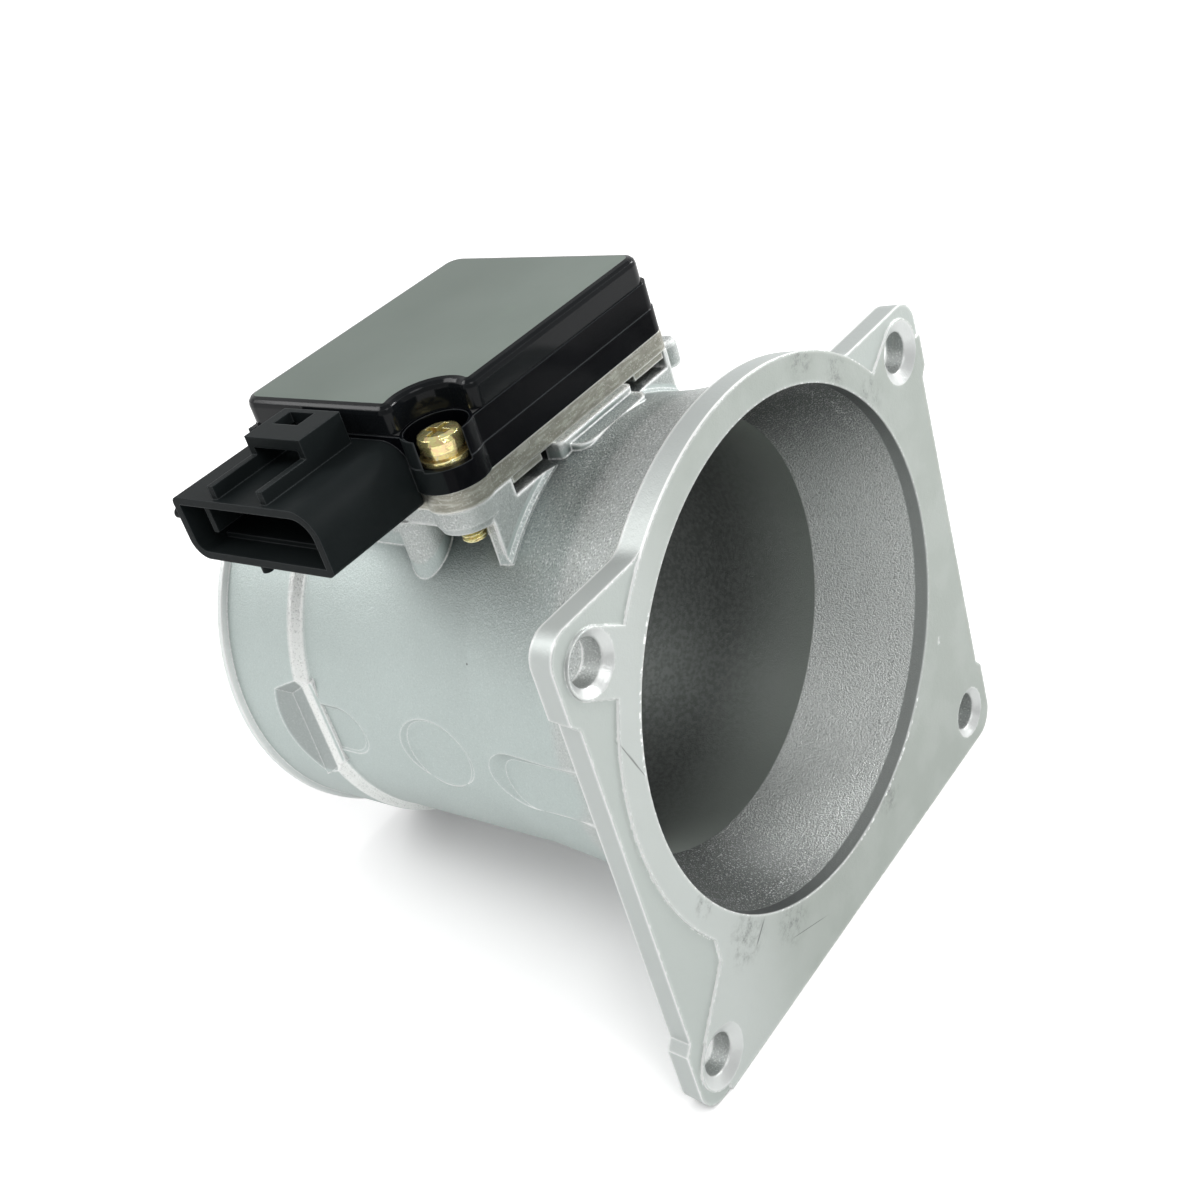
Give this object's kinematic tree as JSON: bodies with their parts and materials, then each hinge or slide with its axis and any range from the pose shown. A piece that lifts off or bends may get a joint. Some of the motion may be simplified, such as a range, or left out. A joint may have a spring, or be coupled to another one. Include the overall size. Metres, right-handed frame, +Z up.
{
  "type": "mass airflow sensor",
  "caption": "Cast metal air duct with a square bolt flange and a round hose collar, carrying a sealed sensor module with an electrical socket on top.",
  "frame": {"origin": "centre of the bore on the flange's mating face", "axes": "+Y along the bore from the flange to the hose end, +Z up to the sensor module, -X the way the electrical socket faces"},
  "size_m": [0.1039, 0.0938, 0.1116],
  "materials": {
    "housing": "matte, as cast",
    "base_plate": "satin",
    "module_case": "glossy",
    "module_cover": "satin top, glossy rim",
    "cover_seal": "matte",
    "circuit_board": "satin",
    "control_chip": "matte",
    "capacitor": "matte",
    "trim_resistor": "matte",
    "terminal": "satin, tinned",
    "probe_body": "matte",
    "probe_ring": "matte",
    "lead_post": "satin",
    "element": "satin",
    "screw": "yellow zinc plated",
    "washer": "yellow zinc plated"
  },
  "bodies": {
    "root": {"housing": "housing", "base_plate": "base_plate", "module_case": "module_case", "module_cover": "module_cover", "cover_seal": "cover_seal", "circuit_board": "circuit_board", "control_chip": "control_chip", "power_transistor": "control_chip", "capacitor_1": "capacitor", "capacitor_2": "capacitor", "trim_resistor": "trim_resistor", "terminal_1": "terminal", "terminal_2": "terminal", "terminal_3": "terminal", "terminal_4": "terminal", "terminal_5": "terminal", "terminal_6": "terminal", "probe_body": "probe_body", "probe_ring": "probe_ring", "lead_post_1": "lead_post", "lead_post_2": "lead_post", "lead_post_3": "lead_post", "lead_post_4": "lead_post", "hot_element": "element", "cold_element": "element", "screw_near": "screw", "screw_far": "screw", "lock_washer_near": "washer", "lock_washer_far": "washer", "flat_washer_near": "washer", "flat_washer_far": "washer"}
  },
  "joints": []
}
